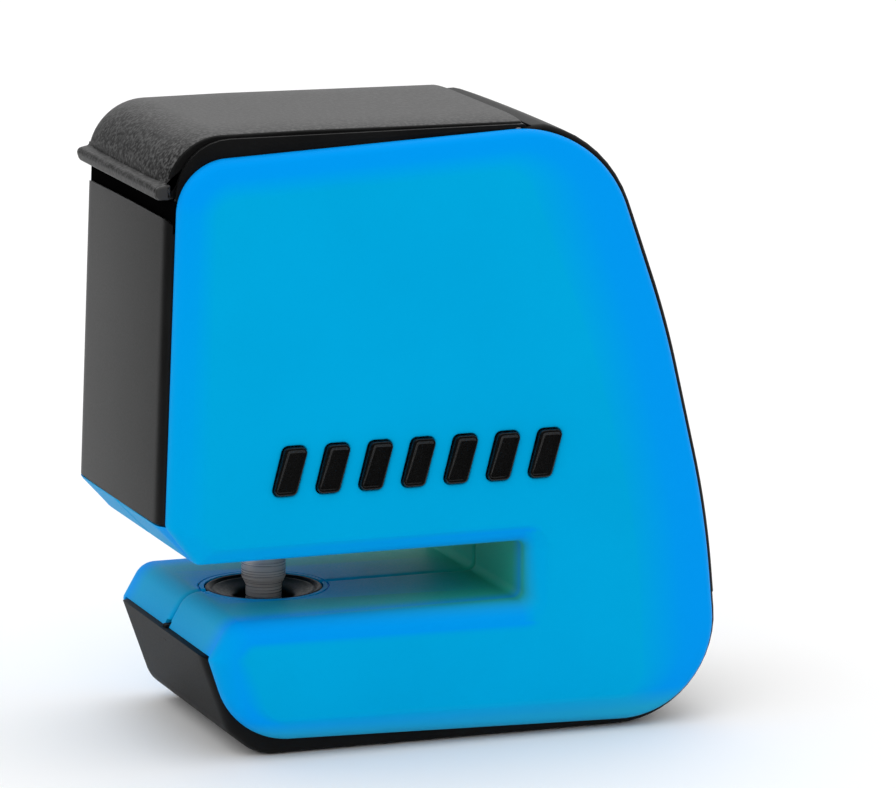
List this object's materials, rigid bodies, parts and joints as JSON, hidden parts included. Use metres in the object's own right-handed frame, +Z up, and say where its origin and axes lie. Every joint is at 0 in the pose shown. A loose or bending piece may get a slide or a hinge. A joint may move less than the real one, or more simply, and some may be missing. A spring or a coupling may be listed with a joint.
{
  "type": "disc brake lock",
  "caption": "Motorcycle disc brake lock: C-shaped body with a disc slot, a steel pin driven across it by a key cylinder, and a hinged dust flap.",
  "frame": {"origin": "centre of the bounding box's underside, on the plane the lock stands on", "axes": "+X from the slot's mouth towards the spine, -Y the front cheek, +Z up, along the pin away from the lower jaw"},
  "size_m": [0.0734, 0.0402, 0.0774],
  "materials": {
    "cheek_blue": "soft-touch satin moulding",
    "trim_black": "fine grained black moulding",
    "seal_rubber": "moulded rubber",
    "cast_core": "as cast, stands in for a cast metal body",
    "bright_steel": "turned and brushed",
    "cylinder_brass": "turned"
  },
  "bodies": {
    "lock_body": {"front_shell": "cheek_blue", "rear_shell": "cheek_blue", "front_grip_bars": "trim_black", "rear_grip_bars": "trim_black", "core_body": "cast_core", "deck_frame": "trim_black", "end_panel": "trim_black", "spine_band": "trim_black", "base_bumper": "trim_black", "flap_hinge_pin": "bright_steel", "deck_screw_1": "bright_steel", "deck_screw_2": "bright_steel", "key_well_seal": "seal_rubber", "lock_housing": "cylinder_brass", "cylinder_pin": "bright_steel", "guide_bush": "bright_steel", "pin_seal": "seal_rubber", "receiver_ring": "trim_black", "receiver_cup": "bright_steel"},
    "plug": {"lock_plug": "cylinder_brass", "plug_circlip": "bright_steel", "drill_guard": "bright_steel", "side_bar": "bright_steel", "cam_sleeve": "bright_steel", "code_disc_1": "cylinder_brass", "code_disc_2": "cylinder_brass", "code_disc_3": "cylinder_brass", "code_disc_4": "cylinder_brass", "code_disc_5": "cylinder_brass", "code_disc_6": "cylinder_brass"},
    "pin": {"lock_pin": "bright_steel", "follower_pin": "bright_steel"},
    "flap": {"dust_flap": "trim_black"}
  },
  "joints": [
    {"name": "plug_turn", "type": "hinge", "parent": "lock_body", "child": "plug", "pos_m": [-0.01754, 0, 0.0624], "axis": [0, 0, 1], "range_deg": [0, 180]},
    {"name": "pin_slide", "type": "slide", "parent": "lock_body", "child": "pin", "axis": [0, 0, 1], "range_m": [0, 0.01]},
    {"name": "flap_hinge", "type": "hinge", "parent": "lock_body", "child": "flap", "pos_m": [0.00966, 0, 0.0756], "axis": [0, 1, 0], "range_deg": [0, 75]}
  ],
  "couplings": [
    {"joint": "pin_slide", "follows": "plug_turn", "m_per_rad": 0.0031831}
  ]
}
